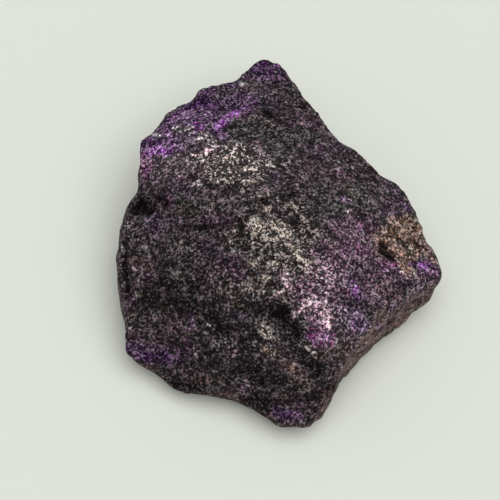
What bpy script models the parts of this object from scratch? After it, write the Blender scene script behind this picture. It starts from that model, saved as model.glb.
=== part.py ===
"""Rough sugilite: one broken lump of purple rock, lying on a small flat spot.

The stone is roughed out as a carver would do it. First comes a cage of flat facets: the broken top, the
sides that fall from its edge, and the underside with the spot that the stone rests on. Then flat chips
are struck off it, and grain roughens what is left. Lengths are in millimetres until the last step.
"""

import bmesh
import bpy
import numpy as np
from mathutils import Vector, noise
from mathutils.geometry import delaunay_2d_cdt

MM = 0.001
NODE_NAME = "rough_sugilite"

# Driving dimensions: the finished stone's width, depth and height
SIZE = Vector((70.8, 84.0, 29.0))

# The edge of the broken top, clockwise from above. Each point is x, y and the height of the edge there.
# +X is to the right as the stone is looked at, and +Y is away.
FAR_RIGHT_EDGE = (
    (-2.2, 43.9, 20.0), (1.2, 42.0, 20.0), (4.1, 38.0, 20.0), (5.8, 33.7, 20.0), (8.7, 29.8, 20.0),
    (10.9, 25.9, 20.0), (14.8, 20.9, 19.5), (18.3, 19.4, 19.5), (21.2, 14.9, 19.0), (23.4, 13.5, 18.5),
)
RIGHT_EDGE = ((26.2, 13.6, 18.0), (29.3, 7.2, 16.5))
RIGHT_CORNER_EDGE = ((31.4, 2.0, 16.0), (35.0, -7.6, 12.5), (30.4, -10.7, 15.0))
BROKEN_SIDE_EDGE = ((27.5, -12.8, 16.0), (23.5, -16.4, 17.0), (20.4, -18.6, 17.5), (18.7, -21.1, 17.5))
LOW_BROKEN_SIDE_EDGE = (
    (17.8, -23.6, 17.0), (15.9, -25.8, 16.5), (14.3, -27.9, 15.0), (12.7, -30.8, 13.0), (11.3, -33.8, 10.5),
    (10.5, -35.7, 8.0),
)
TIP_EDGE = ((7.9, -37.3, 6.5), (6.4, -38.8, 5.5), (4.0, -39.3, 5.0), (1.6, -38.8, 5.0), (-0.7, -37.2, 5.0))
NEAR_EDGE = ((-3.7, -35.6, 5.5), (-7.3, -32.6, 5.5), (-13.8, -31.4, 5.5), (-18.3, -31.2, 5.0))
NEAR_LEFT_EDGE = (
    (-21.2, -29.6, 5.0), (-23.2, -27.6, 5.5), (-24.8, -25.6, 6.0), (-28.2, -24.2, 6.5), (-30.8, -22.5, 7.0),
    (-31.0, -20.0, 8.5), (-30.9, -16.4, 10.0), (-31.4, -12.8, 11.0),
)
LEFT_EDGE = ((-32.2, -7.0, 12.5), (-32.6, 0.0, 14.0), (-32.3, 4.5, 15.0))
UPPER_LEFT_EDGE = (
    (-31.2, 8.0, 16.0), (-28.9, 11.2, 16.5), (-29.1, 15.7, 17.0), (-28.8, 20.8, 17.5), (-27.8, 24.6, 18.0),
    (-25.1, 26.3, 18.5),
)
FAR_LEFT_EDGE = (
    (-22.8, 29.4, 19.0), (-17.4, 32.7, 19.5), (-16.0, 35.5, 20.0), (-11.4, 36.9, 20.0), (-7.8, 36.9, 20.0),
    (-7.3, 38.8, 20.0), (-5.4, 40.6, 20.0),
)

# How each side falls from that edge: how far it stands out, and its height as a share of the edge's
SIDES = (
    (FAR_RIGHT_EDGE, ((1.2, 0.74), (2.4, 0.42), (-3.5, 0.14))),
    (RIGHT_EDGE, ((0.2, 0.70), (0.0, 0.38), (-4.5, 0.14))),
    (RIGHT_CORNER_EDGE, ((1.2, 0.62), (2.6, 0.30), (-1.0, 0.12))),
    (BROKEN_SIDE_EDGE, ((0.5, 0.60), (0.7, 0.26), (-3.0, 0.10))),
    (LOW_BROKEN_SIDE_EDGE, ((-0.2, 0.62), (-1.0, 0.28), (-4.5, 0.12))),
    (TIP_EDGE, ((-0.2, 0.74), (-1.4, 0.48), (-5.5, 0.32))),
    (NEAR_EDGE, ((-0.7, 0.76), (-2.2, 0.50), (-6.5, 0.34))),
    (NEAR_LEFT_EDGE, ((-0.2, 0.74), (-0.7, 0.46), (-5.5, 0.28))),
    (LEFT_EDGE, ((1.0, 0.66), (1.3, 0.34), (-4.0, 0.14))),
    (UPPER_LEFT_EDGE, ((0.0, 0.72), (0.0, 0.40), (-4.5, 0.14))),
    (FAR_LEFT_EDGE, ((0.6, 0.78), (2.6, 0.46), (-2.5, 0.14))),
)
SIDE_SMOOTHING = (1, 3, 5)

# Points on the broken top, between which its facets are flat
FAR_SHOULDER = (
    (-2.5, 36.0, 21.0), (-14.4, 29.6, 21.5), (-26.5, 22.3, 19.5), (-17.4, 19.5, 24.0), (-6.4, 22.0, 24.5),
    (4.6, 21.8, 23.5),
)
CROWN = (
    (-17.0, 9.5, 26.0), (-6.2, 10.0, 27.0), (4.5, 9.5, 26.5), (14.3, 9.0, 24.0), (-15.0, 1.4, 25.0),
    (-5.2, -1.9, 28.0), (4.5, -1.5, 27.5), (14.2, -2.4, 25.5), (-8.4, -11.0, 25.0), (2.3, -12.4, 27.0),
    (13.1, -12.0, 25.5),
)
RIGHT_SHOULDER = ((23.0, 4.5, 21.0), (26.3, -3.9, 19.0), (24.0, -12.0, 20.0), (18.5, -18.2, 21.5))
LEFT_SHOULDER = (
    (-23.7, 5.3, 21.5), (-29.0, 6.3, 16.0), (-13.2, -3.9, 23.0), (-28.2, -1.7, 16.5), (-19.3, -7.4, 20.0),
)
STEP_LIP = (
    (-7.3, -18.5, 22.5), (1.9, -22.6, 24.5), (10.9, -22.4, 24.5), (8.3, -28.8, 21.5), (14.1, -26.2, 20.0),
)
STEP_FOOT = ((-5.1, -22.2, 18.5), (1.3, -25.8, 19.0))
NEAR_SLOPE = (
    (-28.0, -10.8, 14.5), (-17.1, -14.5, 17.5), (-25.7, -18.2, 11.5), (-14.8, -20.8, 14.5),
    (-16.9, -26.4, 10.5), (-6.2, -27.5, 14.0), (3.4, -30.6, 15.0), (9.8, -33.0, 14.0), (-8.3, -31.2, 9.0),
    (2.3, -35.4, 9.0), (-27.8, -22.0, 8.5),
)

# The underside bulges down inside this outline, and the bulge is worn off to leave the flat spot
REST_OUTLINE = (
    (-13.0, -8.0), (-9.0, -15.0), (-1.0, -18.0), (8.0, -15.0), (13.0, -7.0), (13.0, 3.0), (8.0, 11.0),
    (-2.0, 13.0), (-11.0, 9.0), (-14.0, 1.0),
)
REST_BULGE = 1.2

# Chips: how many, how wide, how deep they cut, how far they tilt, and how much of each fades out
CHIP_COUNT = 150
CHIP_RADIUS = (4.0, 11.0)
CHIP_DEPTH = (0.3, 1.3)
CHIP_TILT = 0.35
CHIP_RIM = 0.35
SEED = 11

# Grain: finer and finer bumps, each layer smaller than the last
GRAIN_SIZE = 5.0
GRAIN_DEPTH = 0.45
GRAIN_FALLOFF = 0.8
GRAIN_STEP = 2.1
GRAIN_LAYERS = 4

# Facets of the worked surface and of the finished stone
CELL = 1.0
TRIANGLES = 9000
JOIN_DISTANCE = 0.00001

ROCK_COLOUR = (0.075, 0.055, 0.085, 1.0)
ROCK_ROUGHNESS = 0.7


def side_rings():
    """The top's edge and the three rings below it, each a closed loop with the same number of points."""
    edge = [Vector(point) for points, _ in SIDES for point in points]
    profiles = [profile for points, profile in SIDES for _ in points]
    rings = [edge]
    for level, smoothing in enumerate(SIDE_SMOOTHING):
        ring = []
        for point, profile in zip(edge, profiles):
            stand_out, share = profile[level]
            outward = Vector((point.x, point.y, 0)).normalized()
            ring.append(Vector((point.x, point.y, point.z * share)) + outward * stand_out)
        for _ in range(smoothing):
            ring = [(ring[i - 1] + 2 * ring[i] + ring[(i + 1) % len(ring)]) / 4 for i in range(len(ring))]
        rings.append(ring)
    return rings


def add_field(bm, loop, points):
    """Span a closed loop of vertices with triangles that pass through the points inside it."""
    corners = list(loop) + [bm.verts.new(point) for point in points]
    ground = [corner.co.xy for corner in corners]
    outline = [(index, (index + 1) % len(loop)) for index in range(len(loop))]
    inside_only = 1
    _, _, faces, *_ = delaunay_2d_cdt(ground, outline, [], inside_only, JOIN_DISTANCE)
    for face in faces:
        bm.faces.new([corners[index] for index in face])


def add_sides(bm, rings):
    for upper, lower in zip(rings, rings[1:]):
        for index in range(len(upper)):
            following = (index + 1) % len(upper)
            bm.faces.new((upper[index], upper[following], lower[following], lower[index]))


def cage():
    """The stone as a closed cage of flat facets."""
    bm = bmesh.new()
    rings = [[bm.verts.new(point) for point in ring] for ring in side_rings()]
    top = FAR_SHOULDER + CROWN + RIGHT_SHOULDER + LEFT_SHOULDER + STEP_LIP + STEP_FOOT + NEAR_SLOPE
    add_field(bm, rings[0], top)
    add_sides(bm, rings)
    add_field(bm, rings[-1], [(x, y, -REST_BULGE) for x, y in REST_OUTLINE])
    bmesh.ops.triangulate(bm, faces=bm.faces)
    bmesh.ops.recalc_face_normals(bm, faces=bm.faces)
    mesh = bpy.data.meshes.new(NODE_NAME)
    bm.to_mesh(mesh)
    bm.free()
    return mesh


def with_modifier(mesh, kind, **settings):
    """A new mesh: the old one with a modifier applied."""
    work = bpy.data.objects.new("work", mesh)
    bpy.context.scene.collection.objects.link(work)
    modifier = work.modifiers.new(kind, kind)
    for name, value in settings.items():
        setattr(modifier, name, value)
    changed = bpy.data.meshes.new_from_object(work.evaluated_get(bpy.context.evaluated_depsgraph_get()))
    bpy.data.objects.remove(work)
    return changed


def read_vectors(items, field):
    values = np.empty(len(items) * 3)
    items.foreach_get(field, values)
    return values.reshape(-1, 3)


def strike_chips(mesh):
    """Cut the surface back to many small tilted planes, each inside its own round patch."""
    rng = np.random.default_rng(SEED)
    points = read_vectors(mesh.vertices, "co")
    normals = read_vectors(mesh.vertices, "normal")
    for _ in range(CHIP_COUNT):
        struck = rng.integers(len(points))
        facing = normals[struck] + rng.uniform(-CHIP_TILT, CHIP_TILT, 3)
        facing /= np.linalg.norm(facing)
        radius = rng.uniform(*CHIP_RADIUS)
        depth = rng.uniform(*CHIP_DEPTH)
        away = points - points[struck]
        distance = np.linalg.norm(away, axis=1)
        patch = (distance < radius) & (normals @ facing > 0)
        height = away @ facing
        plane = height[patch].max() - depth
        fade = np.clip((radius - distance) / (CHIP_RIM * radius), 0, 1)
        cut = np.where(patch, np.maximum(height - plane, 0) * fade, 0)
        points -= cut[:, None] * facing
    mesh.vertices.foreach_set("co", points.ravel())
    mesh.update()


def add_grain(mesh):
    for vertex in mesh.vertices:
        height = noise.fractal(vertex.co / GRAIN_SIZE, GRAIN_FALLOFF, GRAIN_STEP, GRAIN_LAYERS)
        vertex.co += vertex.normal * GRAIN_DEPTH * height
    mesh.update()


def level_rest(mesh):
    """Wear the underside's bulge off to one flat spot."""
    for vertex in mesh.vertices:
        vertex.co.z = max(vertex.co.z, 0.0)


def fit_to_size(mesh):
    """Give the stone its driving dimensions in metres, with the origin under the middle of its box."""
    points = read_vectors(mesh.vertices, "co")
    low, high = points.min(axis=0), points.max(axis=0)
    origin = np.array(((low[0] + high[0]) / 2, (low[1] + high[1]) / 2, low[2]))
    scale = np.array(SIZE) / (high - low)
    mesh.vertices.foreach_set("co", ((points - origin) * scale * MM).ravel())
    mesh.update()


def stone_material():
    material = bpy.data.materials.new("sugilite_rock")
    material.use_nodes = True
    shader = material.node_tree.nodes["Principled BSDF"]
    shader.inputs["Base Color"].default_value = ROCK_COLOUR
    shader.inputs["Roughness"].default_value = ROCK_ROUGHNESS
    shader.inputs["Metallic"].default_value = 0.0
    return material


def build_stone():
    mesh = with_modifier(cage(), "REMESH", mode="VOXEL", voxel_size=CELL)
    strike_chips(mesh)
    add_grain(mesh)
    level_rest(mesh)
    triangles_now = 2 * len(mesh.polygons)
    mesh = with_modifier(mesh, "DECIMATE", ratio=TRIANGLES / triangles_now)
    level_rest(mesh)
    fit_to_size(mesh)
    mesh.name = NODE_NAME
    mesh.materials.append(stone_material())
    stone = bpy.data.objects.new(NODE_NAME, mesh)
    bpy.context.scene.collection.objects.link(stone)
    return stone


def main():
    for old in list(bpy.data.objects):
        bpy.data.objects.remove(old)
    build_stone()


main()
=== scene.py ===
"""Looks of the rough sugilite: its grain, its minerals, the pale floor, the soft light and the camera."""

import math

import bmesh
import bpy
import numpy as np
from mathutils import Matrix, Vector, noise
from mathutils.bvhtree import BVHTree


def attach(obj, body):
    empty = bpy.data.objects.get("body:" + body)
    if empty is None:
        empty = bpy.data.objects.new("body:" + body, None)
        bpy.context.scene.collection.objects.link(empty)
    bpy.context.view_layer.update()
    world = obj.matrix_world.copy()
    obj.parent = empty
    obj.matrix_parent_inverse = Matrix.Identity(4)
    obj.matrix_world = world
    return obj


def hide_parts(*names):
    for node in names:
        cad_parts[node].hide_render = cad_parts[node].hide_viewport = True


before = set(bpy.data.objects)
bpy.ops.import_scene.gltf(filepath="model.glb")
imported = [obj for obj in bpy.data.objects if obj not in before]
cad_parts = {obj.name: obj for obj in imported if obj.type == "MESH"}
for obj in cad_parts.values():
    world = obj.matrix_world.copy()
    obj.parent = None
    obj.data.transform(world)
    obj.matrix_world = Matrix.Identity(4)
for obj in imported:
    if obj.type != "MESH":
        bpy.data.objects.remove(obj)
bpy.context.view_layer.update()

MM = 0.001
NODE = "rough_sugilite"

# The camera: it looks away along +Y and down, and one photo pixel is this wide where it aims
PHOTO_SIDE = 500
PIXEL = 0.22 * MM
DISTANCE = 0.40
ELEVATION = math.radians(62)
AIM = Vector((-6.1, -2.3, 10.8)) * MM
SENSOR = 36.0

VIEW = Vector((0, math.cos(ELEVATION), -math.sin(ELEVATION)))
VIEW_UP = Vector((0, math.sin(ELEVATION), math.cos(ELEVATION)))
VIEW_RIGHT = Vector((1, 0, 0))
EYE = AIM - VIEW * DISTANCE

# The light: the direction of the bright patch overhead, the angles of its core and its outer edge, and
# how bright the patch, the room and the room's pale horizon are
LIGHT_FROM = Vector((0.22, -0.14, 1.0))
LIGHT_CORE = math.radians(22)
LIGHT_EDGE = math.radians(42)
PATCH_LIGHT = 2.12
ROOM_LIGHT = 0.33
HORIZON_LIGHT = 0.78
HORIZON_HEIGHT = 0.30

# The worked surface
CELL = 0.40 * MM
SWELL = 0.25
SOFTENING = 4
SEED = 5
LARGE_CHIPS = 260
SMALL_CHIPS = 900

# Each mineral, and the painted shade of the holes and of black in the grooves: the colour of its ground, the colour
# of its grains and the share that the grains cover
MINERALS_AND_SHADES = {
    "matrix": ((0.024, 0.019, 0.021), (0.163, 0.125, 0.142), 0.41),
    # The stone's dark matrix, and painted shade in the grooves
    "black_and_groove_shade": ((0.0085, 0.0068, 0.0077), (0.072, 0.058, 0.065), 0.36),
    "indigo": ((0.021, 0.016, 0.023), (0.160, 0.122, 0.168), 0.40),
    "maroon": ((0.026, 0.019, 0.023), (0.175, 0.126, 0.154), 0.41),
    "green_grey": ((0.021, 0.019, 0.020), (0.138, 0.122, 0.128), 0.41),
    "khaki": ((0.021, 0.017, 0.016), (0.145, 0.115, 0.108), 0.41),
    "taupe": ((0.032, 0.021, 0.022), (0.185, 0.126, 0.134), 0.43),
    "mauve": ((0.030, 0.019, 0.027), (0.205, 0.136, 0.178), 0.42),
    "pink": ((0.049, 0.029, 0.042), (0.340, 0.215, 0.290), 0.43),
    "magenta": ((0.047, 0.022, 0.042), (0.330, 0.165, 0.290), 0.42),
    "violet": ((0.035, 0.019, 0.043), (0.250, 0.150, 0.270), 0.42),
    "bright_violet": ((0.060, 0.026, 0.075), (0.410, 0.190, 0.490), 0.44),
    "deep_violet": ((0.024, 0.011, 0.032), (0.170, 0.090, 0.210), 0.40),
    "lilac": ((0.078, 0.049, 0.084), (0.550, 0.360, 0.580), 0.42),
    "lace": ((0.028, 0.022, 0.024), (0.410, 0.345, 0.340), 0.32),
    "pink_lace": ((0.045, 0.028, 0.037), (0.470, 0.325, 0.395), 0.40),
    "cream": ((0.070, 0.056, 0.050), (0.540, 0.460, 0.420), 0.50),
    "white": ((0.100, 0.086, 0.098), (0.710, 0.620, 0.667), 0.50),
    "pale_pink": ((0.108, 0.070, 0.084), (0.720, 0.516, 0.600), 0.48),
    "crystal": ((0.055, 0.036, 0.031), (0.350, 0.240, 0.215), 0.42),
    "tan": ((0.080, 0.055, 0.048), (0.420, 0.290, 0.255), 0.46),
    "gold": ((0.033, 0.021, 0.015), (0.190, 0.130, 0.092), 0.42),
    # Painted shade: the nearly black colour of the pits and hollows
    "hole_shade": ((0.008, 0.006, 0.006), (0.090, 0.064, 0.068), 0.26),
    "skin": ((0.062, 0.043, 0.043), (0.172, 0.120, 0.121), 0.45),
}

# Marks: each mineral's patches, laid down in this order. Each patch is a rounded stroke between two points
# of the photo (column, row, column, row), with the stroke's half width in millimetres and its strength.
# The holes' strokes are painted shade, and black's strokes along the grooves paint shade as well
MARKS = (
    ("green_grey", (
        (225, 135, 245, 128, 3.0, 0.9), (255, 130, 300, 140, 3.6, 0.7), (270, 150, 290, 165, 3.2, 0.8),
        (262, 172, 282, 174, 1.8, 0.6), (310, 203, 345, 215, 3.8, 0.9), (315, 225, 330, 235, 2.4, 0.8),
        (180, 208, 220, 205, 2.6, 0.7), (344, 190, 365, 195, 2.4, 0.8), (362, 203, 376, 216, 2.4, 0.8),
        (262, 245, 276, 250, 1.6, 0.8), (243, 248, 258, 254, 1.6, 0.8), (165, 232, 173, 236, 1.4, 0.9),
        (168, 262, 178, 272, 1.8, 0.9), (230, 282, 250, 284, 2.0, 0.5), (310, 130, 335, 134, 1.8, 0.8),
        (220, 360, 260, 372, 3.0, 0.7), (230, 320, 260, 330, 3.0, 0.6), (300, 330, 300, 350, 2.6, 0.6),
        (205, 340, 215, 355, 2.6, 0.5), (345, 155, 352, 162, 2.0, 0.6), (275, 335, 290, 345, 2.6, 0.6),
    )),
    ("maroon", (
        (290, 168, 335, 176, 3.2, 0.8), (283, 185, 300, 190, 2.8, 0.8), (345, 150, 372, 175, 2.6, 0.6),
        (305, 150, 345, 158, 2.6, 0.6), (280, 110, 312, 120, 2.6, 0.7), (205, 224, 235, 238, 2.8, 0.6),
        (175, 225, 205, 245, 2.8, 0.5), (150, 168, 195, 172, 2.0, 0.6), (245, 270, 260, 272, 2.0, 0.4),
        (320, 370, 335, 360, 2.6, 0.6), (335, 345, 350, 340, 2.6, 0.6), (270, 112, 280, 120, 1.6, 0.7),
        (215, 334, 235, 338, 2.0, 0.5), (300, 398, 320, 395, 2.2, 0.5), (275, 350, 300, 356, 2.0, 0.5),
        (160, 235, 165, 225, 2.0, 0.4), (300, 415, 312, 405, 2.0, 0.6), (380, 300, 400, 292, 1.8, 0.6),
    )),
    # The stone's dark matrix, and painted shade along the grooves and the step on the lower left, which the hollows
    # below also cut
    ("black_and_groove_shade", (
        (150, 290, 185, 298, 3.6, 0.7), (135, 300, 160, 306, 2.6, 0.6), (180, 306, 218, 316, 3.0, 0.7),
        (212, 320, 258, 336, 3.4, 0.7), (130, 245, 165, 262, 2.6, 0.3), (190, 285, 235, 300, 3.0, 0.5),
        (244, 368, 258, 378, 2.6, 0.6), (178, 358, 196, 363, 1.6, 0.6), (198, 355, 216, 362, 2.0, 0.5),
        (280, 322, 300, 340, 2.8, 0.7), (306, 357, 317, 372, 2.6, 0.8), (324, 370, 330, 384, 2.2, 0.7),
        (300, 386, 314, 396, 2.2, 0.6), (264, 402, 278, 410, 1.8, 0.6), (178, 383, 200, 387, 1.6, 0.8),
        (250, 394, 262, 400, 1.6, 0.7), (240, 392, 246, 398, 1.2, 0.7), (260, 300, 285, 308, 2.2, 0.6),
        (200, 262, 215, 272, 2.0, 0.5), (300, 240, 306, 254, 1.2, 0.7), (340, 360, 345, 350, 1.6, 0.5),
        (160, 268, 168, 285, 2.0, 0.5), (220, 344, 250, 360, 3.0, 0.35), (262, 370, 290, 376, 2.4, 0.35),
    )),
    ("indigo", (
        (204, 245, 222, 258, 1.8, 0.8), (165, 217, 177, 218, 1.6, 0.9), (126, 232, 136, 238, 1.3, 0.9),
        (338, 320, 365, 325, 1.9, 0.9), (303, 272, 306, 292, 1.6, 0.8), (393, 278, 400, 285, 1.6, 0.9),
        (410, 282, 422, 286, 1.6, 0.7), (386, 180, 400, 195, 1.9, 0.9), (217, 103, 237, 107, 1.8, 0.9),
        (225, 95, 238, 92, 1.8, 0.7), (208, 121, 216, 125, 1.1, 0.9), (160, 139, 169, 143, 1.2, 0.7),
        (258, 99, 270, 104, 1.8, 0.8), (335, 148, 340, 143, 1.4, 0.6), (370, 262, 376, 276, 1.9, 0.6),
        (340, 226, 332, 236, 1.8, 0.5), (312, 152, 318, 158, 1.6, 0.6), (268, 172, 276, 176, 1.2, 0.6),
        (152, 217, 160, 225, 2.0, 0.5), (270, 400, 280, 412, 1.4, 0.6), (232, 312, 242, 316, 1.4, 0.6),
        (352, 300, 366, 306, 1.6, 0.6), (310, 262, 308, 275, 1.2, 0.5), (180, 140, 200, 150, 2.0, 0.5),
        (175, 185, 190, 192, 2.2, 0.4), (280, 80, 290, 95, 2.4, 0.4), (264, 82, 270, 92, 1.8, 0.5),
    )),
    ("khaki", (
        (204, 163, 216, 178, 1.9, 0.8), (172, 209, 197, 212, 1.8, 0.6), (232, 305, 243, 308, 1.3, 0.8),
        (150, 337, 160, 340, 1.4, 0.8), (183, 323, 188, 331, 1.1, 0.8), (163, 308, 167, 313, 0.9, 0.8),
        (296, 375, 305, 386, 1.7, 0.8), (276, 390, 284, 398, 1.4, 0.6), (133, 318, 146, 322, 1.4, 0.5),
        (250, 285, 272, 292, 2.0, 0.6), (222, 286, 236, 290, 1.6, 0.5), (250, 100, 256, 112, 1.2, 0.3),
        (345, 190, 352, 197, 1.2, 0.7), (223, 380, 233, 388, 1.4, 0.5), (246, 232, 240, 242, 1.4, 0.5),
    )),
    ("taupe", (
        (130, 262, 152, 266, 1.5, 0.9), (365, 283, 382, 280, 2.2, 0.8), (384, 291, 398, 294, 1.6, 0.8),
        (370, 242, 378, 252, 2.0, 0.7), (322, 392, 334, 397, 1.5, 0.8), (195, 377, 212, 379, 1.2, 0.7),
        (183, 370, 190, 375, 1.2, 0.5), (262, 268, 272, 272, 1.4, 0.6), (360, 256, 368, 264, 1.4, 0.7),
        (320, 345, 345, 350, 2.0, 0.5), (283, 362, 300, 372, 1.8, 0.5), (210, 238, 232, 244, 1.6, 0.4),
    )),
    ("mauve", (
        (335, 255, 400, 285, 6.0, 0.5),
        (330, 226, 366, 221, 2.6, 0.8), (338, 240, 362, 250, 4.2, 0.9), (322, 258, 352, 268, 4.4, 0.9),
        (318, 280, 350, 285, 4.6, 0.9), (312, 298, 336, 304, 3.8, 0.8), (360, 270, 368, 290, 2.6, 0.5),
        (289, 123, 298, 120, 1.6, 0.8), (310, 121, 317, 126, 1.5, 0.8), (222, 261, 236, 263, 2.0, 0.8),
        (220, 272, 238, 276, 1.9, 0.8), (243, 117, 248, 111, 1.6, 0.8), (208, 218, 232, 222, 1.8, 0.8),
        (158, 181, 162, 187, 1.3, 0.8), (166, 194, 172, 206, 1.4, 0.8), (130, 340, 166, 350, 2.4, 0.7),
        (168, 322, 180, 328, 1.6, 0.7), (145, 275, 151, 277, 1.1, 0.9), (170, 344, 196, 353, 1.5, 0.7),
        (236, 388, 246, 392, 1.5, 0.7), (284, 408, 306, 404, 2.2, 0.7), (385, 202, 408, 205, 1.8, 0.7),
        (332, 140, 340, 150, 1.7, 0.5), (383, 268, 432, 274, 2.2, 0.8), (346, 330, 356, 334, 1.6, 0.4),
        (355, 215, 372, 230, 2.2, 0.7), (200, 270, 216, 282, 2.0, 0.4), (132, 246, 150, 235, 1.8, 0.4),
        (244, 91, 254, 96, 1.6, 0.6), (150, 205, 158, 195, 1.4, 0.4), (276, 72, 288, 78, 1.6, 0.6),
        (134, 285, 128, 305, 1.4, 0.5), (314, 322, 330, 330, 1.8, 0.6), (258, 150, 262, 158, 1.2, 0.4),
        (180, 178, 192, 184, 1.4, 0.6), (420, 254, 436, 264, 1.7, 0.8), (378, 180, 384, 184, 1.1, 0.7),
    )),
    ("violet", (
        (155, 140, 190, 118, 5.0, 0.6), (190, 118, 245, 105, 4.0, 0.6), (255, 72, 275, 72, 3.0, 0.6),
        (130, 350, 175, 358, 2.4, 0.5),
        (146, 134, 144, 152, 1.3, 0.9), (148, 140, 168, 150, 2.0, 0.9), (155, 130, 172, 126, 1.2, 0.8),
        (168, 121, 188, 112, 1.6, 0.8), (183, 115, 196, 120, 1.6, 0.7), (204, 95, 213, 91, 1.4, 0.8),
        (216, 132, 224, 138, 1.5, 0.8), (240, 108, 248, 102, 1.4, 0.9), (232, 86, 241, 86, 1.1, 0.7),
        (208, 112, 213, 118, 1.5, 0.8), (258, 69, 268, 73, 1.5, 0.8), (200, 135, 190, 137, 1.2, 0.5),
        (130, 348, 146, 356, 1.3, 0.8), (192, 318, 192, 328, 1.0, 0.8), (280, 412, 296, 417, 1.6, 0.8),
        (350, 285, 358, 296, 1.6, 0.8), (414, 262, 430, 270, 1.9, 0.8), (383, 212, 400, 214, 1.1, 0.7),
        (376, 324, 381, 326, 0.9, 0.7), (170, 140, 180, 148, 1.4, 0.5), (296, 292, 300, 299, 1.4, 0.8),
        (150, 215, 158, 230, 1.8, 0.3), (404, 206, 410, 212, 1.0, 0.7), (350, 322, 362, 326, 1.1, 0.6),
    )),
    ("deep_violet", (
        (190, 106, 206, 102, 1.7, 0.9), (206, 104, 214, 109, 1.3, 0.8), (262, 65, 272, 65, 1.4, 0.9),
        (148, 357, 168, 358, 1.1, 0.9), (155, 138, 150, 142, 0.9, 0.7), (284, 411, 290, 414, 1.0, 0.7),
        (240, 112, 244, 108, 0.9, 0.6), (312, 336, 320, 340, 1.3, 0.8), (392, 268, 398, 272, 1.0, 0.5),
    )),
    ("magenta", (
        (145, 158, 148, 172, 1.5, 0.8), (314, 333, 328, 338, 1.9, 0.9), (316, 345, 324, 343, 0.9, 0.8),
        (383, 265, 404, 263, 1.3, 0.9), (318, 147, 322, 148, 0.9, 0.9), (360, 226, 366, 232, 1.2, 0.6),
        (354, 240, 362, 250, 1.6, 0.6), (185, 339, 187, 343, 1.0, 0.8), (294, 295, 298, 299, 1.1, 0.7),
        (168, 198, 171, 204, 0.9, 0.6), (342, 250, 352, 256, 1.8, 0.5), (324, 262, 334, 268, 1.8, 0.4),
        (196, 131, 200, 130, 0.8, 0.6), (428, 270, 434, 273, 1.0, 0.6),
    )),
    ("bright_violet", (
        (218, 127, 226, 121, 1.3, 1.0), (226, 119, 237, 114, 1.1, 1.0), (236, 113, 241, 109, 0.7, 0.8),
        (195, 126, 200, 128, 1.0, 1.0), (150, 151, 166, 151, 1.3, 0.8), (193, 132, 196, 133, 0.6, 0.8),
        (353, 287, 357, 293, 0.9, 0.7), (420, 265, 426, 268, 0.8, 0.6),
    )),
    ("lilac", (
        (208, 114, 212, 116, 0.8, 0.8), (247, 99, 251, 95, 0.9, 0.6), (381, 267, 385, 268, 0.6, 0.9),
        (352, 284, 355, 285, 0.6, 0.8), (342, 198, 346, 200, 1.0, 0.9), (336, 309, 346, 314, 1.3, 0.7),
        (184, 114, 190, 118, 0.8, 0.6), (165, 135, 171, 134, 0.6, 0.6), (324, 336, 328, 339, 0.8, 0.7),
        (327, 303, 338, 306, 1.4, 0.6), (350, 312, 360, 316, 1.2, 0.5), (386, 316, 392, 304, 0.6, 0.4),
    )),
    ("pink", (
        (340, 171, 348, 176, 1.5, 0.9), (303, 125, 307, 125, 0.9, 0.8), (345, 225, 352, 231, 1.4, 0.7),
        (314, 270, 330, 276, 2.0, 0.6), (316, 300, 328, 296, 2.0, 0.7), (310, 308, 324, 318, 2.0, 0.7),
        (146, 158, 150, 164, 0.9, 0.6), (141, 171, 143, 180, 0.7, 0.7), (226, 270, 234, 273, 1.0, 0.7),
        (350, 254, 362, 258, 1.3, 0.6), (416, 256, 426, 256, 1.2, 0.6), (330, 285, 336, 292, 1.6, 0.5),
        (129, 331, 132, 336, 0.8, 0.6), (208, 214, 216, 219, 0.9, 0.5), (258, 146, 254, 143, 0.7, 0.5),
        (344, 262, 340, 270, 1.4, 0.4), (370, 290, 380, 296, 1.0, 0.5), (325, 243, 332, 250, 1.2, 0.5),
    )),
    ("lace", (
        (206, 158, 250, 160, 2.6, 0.9), (214, 171, 258, 172, 2.6, 0.9), (222, 180, 244, 186, 1.8, 0.8),
        (225, 147, 250, 152, 1.6, 0.7), (250, 226, 296, 228, 3.0, 0.8), (242, 238, 300, 246, 3.6, 0.7),
        (280, 200, 297, 208, 1.6, 0.9), (244, 204, 258, 208, 1.3, 0.7), (272, 212, 292, 215, 1.4, 0.5),
        (260, 262, 300, 268, 2.6, 0.6), (250, 288, 290, 294, 2.0, 0.7), (302, 222, 312, 238, 1.8, 0.6),
        (262, 325, 270, 340, 1.6, 0.8), (257, 343, 260, 347, 0.9, 0.7), (190, 158, 204, 152, 1.4, 0.5),
        (228, 240, 242, 246, 1.6, 0.6), (216, 276, 238, 290, 2.2, 0.4), (265, 346, 274, 353, 1.2, 0.7),
        (176, 130, 190, 132, 1.2, 0.7), (200, 136, 212, 142, 1.2, 0.8), (193, 180, 206, 186, 1.2, 0.7),
        (305, 345, 316, 356, 1.2, 0.7), (218, 340, 230, 348, 1.4, 0.4), (332, 306, 345, 316, 1.8, 0.5),
        (308, 262, 312, 270, 1.4, 0.6), (258, 160, 285, 168, 1.6, 0.5), (360, 212, 352, 204, 1.2, 0.4),
        (318, 228, 330, 240, 1.6, 0.4), (255, 118, 275, 128, 1.8, 0.4), (130, 230, 150, 245, 2.0, 0.4),
        (180, 245, 196, 258, 2.0, 0.3), (178, 276, 196, 272, 1.0, 0.5), (210, 208, 226, 200, 1.6, 0.3),
    )),
    ("pink_lace", (
        (302, 290, 326, 300, 2.0, 0.8), (296, 312, 312, 304, 1.4, 0.8), (310, 310, 330, 318, 1.8, 0.7),
        (312, 270, 326, 282, 2.0, 0.6), (208, 150, 216, 148, 1.0, 0.8), (228, 350, 238, 353, 0.9, 0.6),
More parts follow.
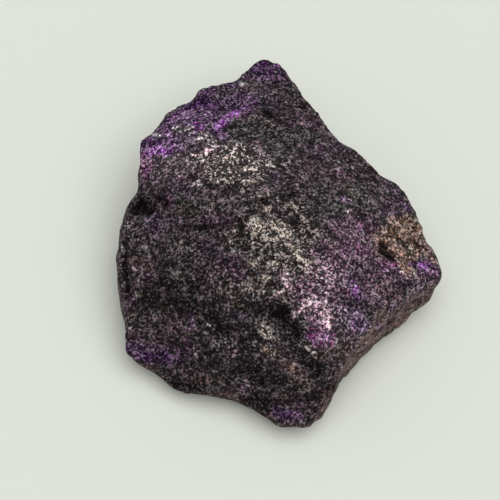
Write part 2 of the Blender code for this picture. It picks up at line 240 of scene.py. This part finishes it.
        (283, 274, 289, 288, 1.2, 0.7), (312, 256, 322, 264, 1.8, 0.6), (330, 256, 345, 262, 2.0, 0.5),
        (340, 280, 330, 272, 1.8, 0.5), (246, 382, 250, 388, 0.9, 0.7), (178, 176, 186, 180, 0.7, 0.6),
    )),
    ("crystal", (
        (395, 225, 416, 222, 2.4, 1.0), (388, 236, 414, 236, 2.6, 1.0), (384, 249, 412, 250, 2.3, 1.0),
        (414, 228, 428, 242, 2.2, 1.0), (398, 258, 422, 252, 1.3, 0.8), (402, 266, 412, 272, 1.3, 0.8),
    )),
    ("tan", (
        (416, 229, 425, 237, 1.4, 0.9), (423, 239, 427, 246, 1.1, 0.9), (394, 245, 401, 253, 1.1, 0.8),
        (404, 267, 411, 270, 1.0, 0.8), (396, 224, 402, 228, 1.0, 0.4), (420, 250, 426, 252, 0.8, 0.7),
        (290, 364, 293, 369, 0.9, 0.7), (266, 348, 273, 352, 0.9, 0.7), (373, 236, 377, 240, 0.9, 0.5),
        (412, 256, 418, 254, 0.9, 0.6), (386, 230, 392, 234, 0.8, 0.6), (428, 254, 436, 262, 0.8, 0.5),
    )),
    ("gold", ((390, 232, 397, 236, 1.0, 0.8), (402, 222, 410, 229, 1.3, 0.6), (404, 232, 410, 236, 1.0, 0.5))),
    ("cream", (
        (254, 221, 257, 228, 1.3, 1.0), (253, 231, 255, 233, 0.6, 0.9), (272, 222, 277, 228, 0.9, 1.0),
        (279, 221, 286, 225, 0.6, 0.8), (281, 232, 289, 237, 1.2, 0.9), (261, 238, 270, 239, 0.7, 1.0),
        (272, 239, 282, 238, 0.6, 0.8), (294, 249, 299, 256, 1.2, 1.0), (299, 257, 304, 262, 0.7, 0.9),
        (284, 244, 288, 249, 0.6, 0.9), (303, 260, 312, 261, 0.9, 0.9), (300, 267, 306, 270, 0.6, 0.8),
        (251, 262, 254, 264, 0.8, 0.9), (275, 262, 278, 266, 0.6, 0.7), (262, 277, 268, 278, 0.6, 0.9),
        (262, 205, 268, 209, 0.8, 0.9), (258, 193, 262, 204, 0.4, 0.8), (268, 192, 268, 203, 0.35, 0.7),
        (415, 221, 420, 226, 0.8, 0.9), (408, 245, 411, 252, 0.6, 0.9), (290, 204, 294, 209, 0.6, 0.8),
        (222, 157, 236, 160, 0.7, 0.6), (240, 168, 256, 171, 0.7, 0.7), (222, 178, 230, 183, 0.6, 0.7),
        (243, 181, 255, 182, 0.5, 0.9), (268, 166, 272, 168, 0.5, 0.7), (225, 147, 232, 148, 0.5, 0.7),
        (308, 348, 311, 352, 0.7, 0.8), (268, 330, 272, 336, 0.7, 0.7), (262, 332, 265, 338, 0.6, 0.7),
        (232, 228, 250, 224, 0.3, 0.4), (266, 231, 270, 234, 0.6, 0.8), (250, 290, 268, 291, 0.7, 0.5),
        (137, 293, 139, 295, 0.7, 0.7), (302, 216, 304, 221, 0.4, 0.7), (403, 206, 405, 208, 0.3, 0.0),
    )),
    ("pale_pink", (
        (303, 303, 311, 306, 0.9, 0.9), (292, 317, 301, 309, 0.5, 0.8), (325, 312, 328, 327, 0.9, 0.9),
        (284, 276, 287, 281, 0.7, 0.8), (286, 284, 289, 287, 0.8, 0.8), (208, 151, 214, 148, 0.7, 0.9),
        (194, 155, 197, 156, 0.5, 0.8), (276, 296, 280, 294, 0.6, 0.8), (134, 268, 138, 271, 0.5, 0.8),
        (402, 272, 408, 277, 0.6, 0.7), (257, 343, 259, 346, 0.5, 0.7), (350, 166, 352, 168, 0.5, 0.9),
        (344, 175, 348, 176, 0.6, 0.7), (370, 236, 374, 238, 0.6, 0.5), (316, 328, 319, 330, 0.5, 0.7),
    )),
    ("white", (
        (154, 134, 158, 136, 0.6, 1.0), (175, 128, 190, 129, 0.5, 0.9), (198, 139, 207, 138, 0.6, 0.9),
        (205, 131, 207, 136, 0.5, 0.9), (210, 142, 214, 147, 0.6, 0.8), (193, 185, 206, 186, 0.5, 0.9),
        (197, 182, 201, 183, 0.5, 0.8), (203, 206, 209, 210, 0.35, 0.8), (233, 250, 240, 251, 0.4, 0.8),
        (241, 83, 243, 86, 0.8, 1.0), (272, 200, 276, 201, 0.4, 0.8), (344, 211, 347, 211, 0.5, 0.9),
        (313, 352, 315, 354, 0.5, 0.8), (233, 353, 234, 354, 0.35, 1.0), (205, 333, 205, 333, 0.3, 0.9),
        (210, 325, 213, 329, 0.35, 0.8), (412, 268, 414, 276, 0.35, 0.8), (127, 224, 127, 225, 0.4, 0.8),
        (123, 248, 124, 251, 0.5, 0.8), (131, 329, 132, 330, 0.4, 0.7), (270, 126, 271, 127, 0.4, 0.7),
        (218, 95, 219, 96, 0.3, 0.8), (245, 101, 246, 102, 0.3, 0.8), (337, 162, 339, 163, 0.4, 0.8),
        (328, 162, 330, 162, 0.4, 0.8), (384, 177, 386, 178, 0.4, 0.7), (186, 247, 187, 248, 0.3, 0.9),
        (193, 275, 195, 278, 0.4, 0.8), (196, 355, 206, 356, 0.4, 0.5), (262, 325, 266, 327, 0.4, 0.8),
    )),
    # Painted shade in the pits and hollows, which the hollows below also dig in
    ("hole_shade", (
        (140, 204, 149, 210, 1.5, 1.0), (134, 210, 140, 213, 0.9, 0.9), (158, 200, 166, 203, 0.9, 0.8),
        (399, 240, 406, 246, 0.7, 1.0), (383, 251, 391, 257, 0.9, 0.9), (381, 245, 386, 248, 0.7, 0.8),
        (412, 228, 414, 230, 0.4, 0.8), (412, 242, 417, 245, 0.6, 0.7), (196, 228, 218, 226, 0.5, 0.9),
        (219, 230, 238, 226, 0.3, 0.6), (240, 221, 243, 228, 0.5, 0.8), (283, 196, 294, 194, 0.6, 0.9),
        (262, 199, 266, 203, 0.7, 0.7), (278, 225, 281, 229, 0.5, 0.8), (290, 223, 296, 228, 0.6, 0.7),
        (297, 262, 301, 264, 0.5, 0.7), (125, 256, 128, 290, 0.8, 0.8), (263, 102, 268, 104, 0.8, 0.8),
        (268, 112, 277, 121, 0.9, 0.8), (258, 110, 266, 113, 0.7, 0.7), (290, 106, 305, 108, 0.5, 0.7),
        (387, 322, 389, 323, 0.5, 1.0), (386, 318, 387, 308, 0.3, 0.5), (402, 286, 405, 288, 0.7, 0.7),
        (308, 416, 313, 413, 0.7, 0.6), (210, 143, 208, 146, 0.4, 0.7), (296, 340, 291, 333, 1.0, 0.5),
    )),
)

# Broad lighter and darker areas, partly painted light and shade (lighter across the upper middle, darker along the
# near left edge) and partly the stone's own tone: strokes as above, with how many stops lighter (or darker, below
# zero)
PAINTED_LIGHT_AND_TONES = (
    (180, 125, 240, 108, 5.0, 0.40), (165, 160, 250, 165, 7.0, 0.90), (265, 185, 350, 192, 5.0, 0.25),
    (340, 190, 375, 195, 4.0, 0.35), (130, 215, 150, 225, 5.0, 0.15), (160, 255, 200, 260, 7.0, -0.15),
    (150, 290, 180, 310, 7.0, 0.05), (140, 345, 240, 350, 7.0, -0.20), (190, 375, 270, 385, 8.0, -0.25),
    (260, 405, 310, 405, 5.0, -0.15), (300, 255, 410, 262, 9.0, 0.30), (340, 225, 375, 220, 6.0, 0.15),
    (270, 310, 300, 312, 5.0, 0.15), (340, 315, 400, 315, 7.0, 0.30), (305, 340, 360, 345, 6.0, 0.30),
    (300, 375, 312, 372, 4.0, 0.50), (215, 308, 235, 316, 5.0, 0.55), (240, 345, 262, 342, 5.0, 0.30),
)

# Hollows and bumps of the surface: strokes as above, with how far the surface goes in (or out, below zero)
HOLLOWS = (
    (140, 204, 149, 210, 1.8, 1.0), (134, 211, 140, 213, 1.0, 0.6), (196, 228, 218, 226, 0.6, 0.7),
    (219, 230, 240, 226, 0.5, 0.4), (399, 240, 406, 246, 0.8, 0.9), (383, 251, 391, 257, 1.0, 0.7),
    (381, 245, 386, 248, 0.8, 0.6), (217, 105, 237, 107, 1.6, 0.5), (160, 200, 166, 203, 0.9, 0.4),
    (283, 196, 294, 194, 0.7, 0.5), (262, 199, 266, 203, 0.7, 0.5), (240, 221, 243, 228, 0.6, 0.5),
    (268, 112, 277, 121, 1.0, 0.5), (263, 102, 268, 104, 0.9, 0.4), (235, 308, 285, 314, 1.8, 0.6),
    (285, 318, 300, 340, 1.6, 0.5), (306, 357, 317, 372, 1.8, 0.5), (212, 318, 224, 330, 1.6, 0.4),
    (125, 258, 128, 288, 0.8, 0.4), (290, 106, 305, 108, 0.6, 0.4), (387, 308, 388, 323, 0.5, 0.4),
    (254, 221, 257, 228, 1.3, -0.35), (281, 232, 289, 237, 1.3, -0.3), (294, 249, 299, 256, 1.2, -0.35),
    (218, 127, 237, 114, 1.1, -0.3), (320, 330, 328, 338, 1.6, -0.3), (395, 225, 412, 234, 2.0, -0.4),
    (418, 228, 426, 242, 1.6, -0.35), (303, 303, 311, 306, 1.2, -0.25), (272, 222, 277, 228, 0.9, -0.25),
    (330, 186, 345, 200, 0.8, 0.3), (205, 186, 250, 192, 0.8, 0.3), (300, 240, 306, 254, 1.0, 0.35),
    (160, 364, 176, 380, 1.2, 0.3), (410, 286, 378, 300, 0.6, 0.3), (372, 318, 366, 340, 1.2, -0.4),
    (396, 306, 380, 322, 1.4, -0.35), (424, 286, 408, 300, 1.2, -0.3), (360, 345, 346, 372, 1.0, -0.25),
)


def read_vectors(items, field):
    values = np.empty(len(items) * 3)
    items.foreach_get(field, values)
    return values.reshape(-1, 3)


def fade(values, low, high):
    share = np.clip((values - low) / (high - low), 0, 1)
    return share * share * (3 - 2 * share)


def noise_field(points, size, layers=3, offset=0.0):
    """Soft noise at the given points, about -1 to 1, with bumps of the given size in millimetres."""
    shift = Vector((offset, offset * 0.7, -offset))
    scaled = points / (size * MM)
    return np.array([noise.fractal(Vector(p) + shift, 1.0, 2.0, layers) for p in scaled])


def vector_field(points, size, offset=0.0):
    shift = Vector((offset, -offset, offset * 0.5))
    scaled = points / (size * MM)
    return np.array([noise.noise_vector(Vector(p) + shift)[:] for p in scaled])


def cell_field(points, size):
    """Height of rounded grains of the given size: 1 at a grain's middle, 0 in the seams."""
    scaled = points / (size * MM)
    heights = np.empty(len(points))
    for index, p in enumerate(scaled):
        distances, _ = noise.voronoi(Vector(p))
        heights[index] = distances[1] - distances[0]
    return heights


def seen_point(tree, column, row):
    """The point of the stone that the photo shows at this pixel."""
    half = PHOTO_SIDE / 2
    aim_at = AIM + VIEW_RIGHT * (column - half) * PIXEL + VIEW_UP * (half - row) * PIXEL
    hit = tree.ray_cast(EYE, (aim_at - EYE).normalized())[0]
    if hit is None:
        hit = tree.find_nearest(aim_at)[0]
    return np.array(hit)


def stroke_weight(points, start, end, half_width):
    """1 inside a rounded stroke between two points, fading to 0 outside it."""
    along = end - start
    length2 = max(along @ along, 1e-12)
    share = np.clip((points - start) @ along / length2, 0, 1)
    away = np.linalg.norm(points - start - share[:, None] * along, axis=1)
    return 1 - fade(away, 0.45 * half_width, 1.35 * half_width)


def fine_copy(cad):
    """The CAD stone's surface as small even faces, its facets softened."""
    bm = bmesh.new()
    bm.from_mesh(cad.data)
    bmesh.ops.remove_doubles(bm, verts=bm.verts, dist=0.001 * MM)
    mesh = bpy.data.meshes.new("surface")
    bm.to_mesh(mesh)
    bm.free()
    work = bpy.data.objects.new("work", mesh)
    bpy.context.scene.collection.objects.link(work)
    remesh = work.modifiers.new("remesh", "REMESH")
    remesh.mode = "VOXEL"
    remesh.voxel_size = CELL
    soften = work.modifiers.new("soften", "SMOOTH")
    soften.factor = 0.5
    soften.iterations = SOFTENING
    changed = bpy.data.meshes.new_from_object(work.evaluated_get(bpy.context.evaluated_depsgraph_get()))
    bpy.data.objects.remove(work)
    return changed


def set_points(mesh, points):
    mesh.vertices.foreach_set("co", points.ravel())
    mesh.update()


def strike_chips(points, normals, keep, count, radii, depths, tilt, rng):
    """Cut the surface back to small tilted planes, each inside its own round patch."""
    for _ in range(count):
        struck = rng.integers(len(points))
        facing = normals[struck] + rng.uniform(-tilt, tilt, 3)
        facing /= np.linalg.norm(facing)
        radius = rng.uniform(*radii) * MM
        depth = rng.uniform(*depths) * MM
        if rng.random() > keep[struck]:
            continue
        near = np.flatnonzero(np.abs(points - points[struck]).max(axis=1) < radius)
        away = points[near] - points[struck]
        distance = np.linalg.norm(away, axis=1)
        inside = (distance < radius) & (normals[near] @ facing > 0)
        near, away, distance = near[inside], away[inside], distance[inside]
        height = away @ facing
        plane = height.max() - depth
        rim = np.clip((radius - distance) / (0.25 * radius), 0, 1)
        points[near] -= (np.maximum(height - plane, 0) * rim)[:, None] * facing


def shape_surface(mesh, tree):
    """Chips, hollows and grains. Returns how far each point ends above or below the smooth stone, in mm."""
    rng = np.random.default_rng(SEED)
    start = read_vectors(mesh.vertices, "co")
    smooth_normals = read_vectors(mesh.vertices, "normal")
    points = start.copy()
    side = side_share(start, smooth_normals)
    rough = 1 - 0.65 * side
    floor_z = start[:, 2].min()
    resting = 1 - fade(start[:, 2], floor_z + 0.15 * MM, floor_z + 1.2 * MM)
    strike_chips(points, smooth_normals, 1 - 0.4 * side, LARGE_CHIPS, (2.5, 6.0), (0.15, 0.55), 0.40, rng)
    strike_chips(points, smooth_normals, rough, SMALL_CHIPS, (1.0, 2.6), (0.10, 0.35), 0.55, rng)
    for left, top, right, bottom, half_width, depth in HOLLOWS:
        weight = stroke_weight(points, seen_point(tree, left, top), seen_point(tree, right, bottom), half_width * MM)
        points -= (weight * depth * MM)[:, None] * smooth_normals
    warped = points + vector_field(points, 1.6) * 0.3 * MM
    bumps = 0.22 * noise_field(points, 3.2, 4)
    grains = 0.26 * (cell_field(warped, 1.5) - 0.35) + 0.16 * (cell_field(warped, 0.8) - 0.35)
    fine = 0.10 * noise_field(points, 0.9, 2, 7.3)
    height = (SWELL + bumps + (grains + fine) * rough) * MM
    points += height[:, None] * smooth_normals
    points = start * resting[:, None] + points * (1 - resting[:, None])
    points[:, 2] = np.maximum(points[:, 2], floor_z)
    set_points(mesh, points)
    return ((points - start) * smooth_normals).sum(axis=1) / MM


def side_share(points, normals):
    """1 on the steep sides, 0 on the broken top."""
    return 1 - fade(normals[:, 2], 0.25, 0.50)


def colours_with_painted_shade(mesh, relief, tree):
    """Each point's ground colour, grain colour and share of grains. Both colours carry painted shade in the hollows,
    painted highlight on the bumps and broad painted light and shade.
    """
    points = read_vectors(mesh.vertices, "co")
    normals = smooth_directions(mesh)
    count = len(points)
    ground = np.tile(MINERALS_AND_SHADES["matrix"][0], (count, 1))
    grain = np.tile(MINERALS_AND_SHADES["matrix"][1], (count, 1))
    share = np.full(count, MINERALS_AND_SHADES["matrix"][2])

    def lay(colour_kind, weight):
        nonlocal ground, grain, share
        its_ground, its_grain, its_share = MINERALS_AND_SHADES[colour_kind]
        w = weight[:, None]
        ground = ground * (1 - w) + np.array(its_ground) * w
        grain = grain * (1 - w) + np.array(its_grain) * w
        share = share * (1 - weight) + its_share * weight

    broad = noise_field(points, 9.0, 3, 3.1)
    middling = noise_field(points, 4.0, 3, 11.7)
    lay("green_grey", 0.5 * fade(-middling, 0.0, 0.5))
    lay("maroon", 0.45 * fade(middling, 0.05, 0.5))
    to_eye = -np.array(VIEW)
    hidden = 1 - fade(normals @ to_eye, -0.15, 0.25)
    lay("mauve", 0.8 * hidden * fade(broad, 0.15, 0.45))
    lay("violet", 0.8 * hidden * fade(noise_field(points, 8.0, 3, 23.0), 0.28, 0.5))
    lay("lace", 0.7 * hidden * fade(noise_field(points, 7.0, 3, 31.0), 0.25, 0.5))
    lay("black_and_groove_shade", 0.6 * hidden * fade(-broad, 0.15, 0.5))
    side = side_share(points, normals)
    streak = noise_field(points * np.array((1, 1, 3.0)), 5.0, 3, 41.0)
    near_side = fade(normals @ np.array((0.55, -0.83, 0.0)), 0.35, 0.75)
    lay("skin", np.clip(side * (0.55 + 0.45 * near_side + 0.3 * streak), 0, 1))
    lay("black_and_groove_shade", 0.35 * side * fade(-streak, 0.1, 0.5))
    warped = points + vector_field(points, 2.2) * 0.55 * MM + vector_field(points, 0.9, 5.0) * 0.22 * MM
    for colour_kind, strokes in MARKS:
        left = np.ones(count)
        for x1, y1, x2, y2, half_width, strength in strokes:
            start, end = seen_point(tree, x1, y1), seen_point(tree, x2, y2)
            left *= 1 - strength * stroke_weight(warped, start, end, half_width * MM)
        lay(colour_kind, 1 - left)
    # Broad painted light and shade, partly the stone's own tone, in stops
    stops = np.zeros(count)
    for x1, y1, x2, y2, half_width, lighter in PAINTED_LIGHT_AND_TONES:
        stops += lighter * stroke_weight(points, seen_point(tree, x1, y1), seen_point(tree, x2, y2), half_width * MM)
    # Painted shade and painted highlight: darker where the surface goes in, lighter where it stands out, times the
    # broad lighter and darker strokes
    painted_shade_and_tone = np.clip(1 + relief, 0.45, 1.5) * 2 ** stops
    return ground * painted_shade_and_tone[:, None], grain * painted_shade_and_tone[:, None], share


def smooth_directions(mesh):
    """Normals averaged over the neighbourhood, so that the grain doesn't count."""
    normals = read_vectors(mesh.vertices, "normal")
    edges = np.empty(len(mesh.edges) * 2, np.int64)
    mesh.edges.foreach_get("vertices", edges)
    edges = edges.reshape(-1, 2)
    for _ in range(12):
        total = normals.copy()
        np.add.at(total, edges[:, 0], normals[edges[:, 1]])
        np.add.at(total, edges[:, 1], normals[edges[:, 0]])
        normals = total / np.linalg.norm(total, axis=1)[:, None]
    return normals


def add_colours(mesh, name, colours):
    attribute = mesh.color_attributes.new(name, "FLOAT_COLOR", "POINT")
    filled = np.ones((len(colours), 4), np.float32)
    filled[:, :3] = colours
    attribute.data.foreach_set("color", filled.ravel())


def add_values(mesh, name, values):
    attribute = mesh.attributes.new(name, "FLOAT", "POINT")
    attribute.data.foreach_set("value", values.astype(np.float32))


class Nodes:
    """Short forms for making the nodes of one material."""

    def __init__(self, material):
        material.use_nodes = True
        self.tree = material.node_tree
        self.shader = self.tree.nodes["Principled BSDF"]

    def add(self, kind, **settings):
        node = self.tree.nodes.new("ShaderNode" + kind)
        for name, value in settings.items():
            setattr(node, name, value)
        return node

    def link(self, source, target):
        self.tree.links.new(source, target)

    def feed(self, target, value):
        if isinstance(value, bpy.types.NodeSocket):
            self.link(value, target)
        else:
            target.default_value = value

    def math(self, operation, a, b=0.0, clamp=False):
        node = self.add("Math", operation=operation, use_clamp=clamp)
        self.feed(node.inputs[0], a)
        self.feed(node.inputs[1], b)
        return node.outputs[0]

    def attribute(self, name, output="Fac"):
        node = self.add("Attribute", attribute_name=name)
        return node.outputs[output]

    def noise(self, place, size, detail=2.0, roughness=0.5, distortion=0.0):
        node = self.add("TexNoise")
        self.link(place, node.inputs["Vector"])
        node.inputs["Scale"].default_value = 1 / (size * MM)
        node.inputs["Detail"].default_value = detail
        node.inputs["Roughness"].default_value = roughness
        node.inputs["Distortion"].default_value = distortion
        return node.outputs["Fac"]

    def steps(self, value, low, high, to_low=0.0, to_high=1.0):
        node = self.add("MapRange", interpolation_type="SMOOTHSTEP")
        for socket, given in zip(node.inputs[:5], (value, low, high, to_low, to_high)):
            self.feed(socket, given)
        return node.outputs[0]

    def mix(self, share, a, b, blend="MIX"):
        node = self.add("Mix", data_type="RGBA", blend_type=blend)
        self.feed(node.inputs[0], share)
        self.feed(node.inputs[6], a)
        self.feed(node.inputs[7], b)
        return node.outputs[2]


def rock_material():
    material = bpy.data.materials.new("sugilite_rock")
    n = Nodes(material)
    place = n.add("TexCoord").outputs["Object"]
    share = n.attribute("share")

    bend = n.add("TexNoise")
    n.link(place, bend.inputs["Vector"])
    bend.inputs["Scale"].default_value = 1 / (0.9 * MM)
    bend.inputs["Detail"].default_value = 2.0
    shift = n.add("VectorMath", operation="MULTIPLY_ADD")
    n.link(bend.outputs["Color"], shift.inputs[0])
    shift.inputs[1].default_value = (0.6 * MM,) * 3
    n.link(place, shift.inputs[2])
    bent = shift.outputs[0]

    curls = n.add("TexNoise", noise_type="RIDGED_MULTIFRACTAL")
    n.link(bent, curls.inputs["Vector"])
    curls.inputs["Scale"].default_value = 1 / (0.95 * MM)
    curls.inputs["Detail"].default_value = 1.5
    web = n.steps(curls.outputs["Fac"], 0.9, 1.9)
    specks = n.add("TexVoronoi")
    n.link(bent, specks.inputs["Vector"])
    specks.inputs["Scale"].default_value = 1 / (0.42 * MM)
    chance = n.add("SeparateXYZ")
    n.link(specks.outputs["Color"], chance.inputs[0])
    one, two, three = chance.outputs
    mottle = n.noise(place, 0.55, 3.0, 0.65, 0.5)
    mottle = n.steps(mottle, 0.30, 0.70)

    clumps = n.steps(n.noise(place, 1.7, 2.0, 0.5), 0.30, 0.70)
    pattern = n.math("MULTIPLY", mottle, 0.40)
    pattern = n.math("ADD", pattern, n.math("MULTIPLY", one, 0.22))
    pattern = n.math("ADD", pattern, n.math("MULTIPLY", web, 0.22))
    pattern = n.math("ADD", pattern, n.math("MULTIPLY", clumps, 0.16))
    edge = n.math("SUBTRACT", 0.80, n.math("MULTIPLY", share, 0.80))
    mask = n.steps(pattern, n.math("SUBTRACT", edge, 0.14), n.math("ADD", edge, 0.14))

    colour = n.mix(mask, n.attribute("ground", "Color"), n.attribute("grain", "Color"))
    hue = n.add("HueSaturation")
    n.link(n.steps(two, 0.0, 1.0, 0.55, 1.50), hue.inputs["Saturation"])
    n.link(colour, hue.inputs["Color"])
    power = n.math("POWER", 2.0, n.math("MULTIPLY", n.math("SUBTRACT", pattern, 0.560), 3.1))
    power = n.math("MULTIPLY", power, n.steps(three, 0.0, 1.0, 0.75, 1.25))
    shade = n.add("VectorMath", operation="SCALE")
    n.link(hue.outputs[0], shade.inputs[0])
    n.link(power, shade.inputs["Scale"])
    n.link(shade.outputs[0], n.shader.inputs["Base Color"])

    n.link(n.steps(one, 0.0, 1.0, 0.45, 0.85), n.shader.inputs["Roughness"])
    n.link(n.steps(pattern, 0.4, 0.8, 0.02, 0.20), n.shader.inputs["Specular IOR Level"])

    bump = n.add("Bump")
    bump.inputs["Strength"].default_value = 0.7
    bump.inputs["Distance"].default_value = 0.15 * MM
    n.link(pattern, bump.inputs["Height"])
    n.link(bump.outputs["Normal"], n.shader.inputs["Normal"])
    return material


def make_stone():
    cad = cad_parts[NODE]
    mesh = fine_copy(cad)
    tree = BVHTree.FromPolygons([v.co for v in mesh.vertices], [p.vertices[:] for p in mesh.polygons])
    relief = shape_surface(mesh, tree)
    ground, grain, share = colours_with_painted_shade(mesh, relief, tree)
    # Both colours carry painted shade in the hollows and grooves and painted highlight on the bumps
    add_colours(mesh, "ground", ground)
    add_colours(mesh, "grain", grain)
    add_values(mesh, "share", share)
    mesh.polygons.foreach_set("use_smooth", [True] * len(mesh.polygons))
    mesh.materials.clear()
    mesh.materials.append(rock_material())
    stone = bpy.data.objects.new("sugilite_stone", mesh)
    bpy.context.scene.collection.objects.link(stone)
    return stone


def make_floor():
    """A wide pale board, so that it fills the view even from close to the floor's level."""
    half = 6.0
    mesh = bpy.data.meshes.new("floor")
    mesh.from_pydata([(-half, -half, 0), (half, -half, 0), (half, half, 0), (-half, half, 0)], [], [(0, 1, 2, 3)])
    material = bpy.data.materials.new("pale_paper")
    n = Nodes(material)
    n.shader.inputs["Base Color"].default_value = (0.790, 0.806, 0.760, 1.0)
    n.shader.inputs["Roughness"].default_value = 0.9
    n.shader.inputs["Specular IOR Level"].default_value = 0.2
    mesh.materials.append(material)
    floor = bpy.data.objects.new("floor", mesh)
    bpy.context.scene.collection.objects.link(floor)
    return floor


def light_scene():
    """A wide soft patch of light overhead, a little to the near right, in an evenly lit pale room."""
    world = bpy.data.worlds.new("room")
    bpy.context.scene.world = world
    world.use_nodes = True
    nodes, links = world.node_tree.nodes, world.node_tree.links
    toward = nodes.new("ShaderNodeTexCoord").outputs["Generated"]

    def ramp(direction, low, high, at_low, at_high):
        facing = nodes.new("ShaderNodeVectorMath")
        facing.operation = "DOT_PRODUCT"
        facing.inputs[1].default_value = direction.normalized()
        links.new(toward, facing.inputs[0])
        step = nodes.new("ShaderNodeMapRange")
        step.interpolation_type = "SMOOTHSTEP"
        links.new(facing.outputs["Value"], step.inputs[0])
        for socket, value in zip(step.inputs[1:5], (low, high, at_low, at_high)):
            socket.default_value = value
        return step.outputs[0]

    room = ramp(Vector((0, 0, 1)), 0.0, HORIZON_HEIGHT, HORIZON_LIGHT, ROOM_LIGHT)
    patch = ramp(LIGHT_FROM, math.cos(LIGHT_EDGE), math.cos(LIGHT_CORE), 0.0, PATCH_LIGHT)
    both = nodes.new("ShaderNodeMath")
    links.new(room, both.inputs[0])
    links.new(patch, both.inputs[1])
    links.new(both.outputs[0], nodes["Background"].inputs["Strength"])
    nodes["Background"].inputs["Color"].default_value = (0.985, 1.0, 0.965, 1.0)
    bpy.context.scene.view_settings.view_transform = "Standard"
    bpy.context.scene.view_settings.look = "None"


def add_camera():
    lens = bpy.data.cameras.new("photo_camera")
    lens.sensor_width = SENSOR
    lens.lens = SENSOR * DISTANCE / (PHOTO_SIDE * PIXEL)
    lens.clip_start = 0.01
    lens.clip_end = 50
    camera = bpy.data.objects.new("photo_camera", lens)
    camera.location = EYE
    camera.rotation_euler = VIEW.to_track_quat("-Z", "Y").to_euler()
    bpy.context.scene.collection.objects.link(camera)
    bpy.context.scene.camera = camera


add_camera()
light_scene()
make_floor()
stone = make_stone()
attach(stone, "root")
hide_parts(NODE)
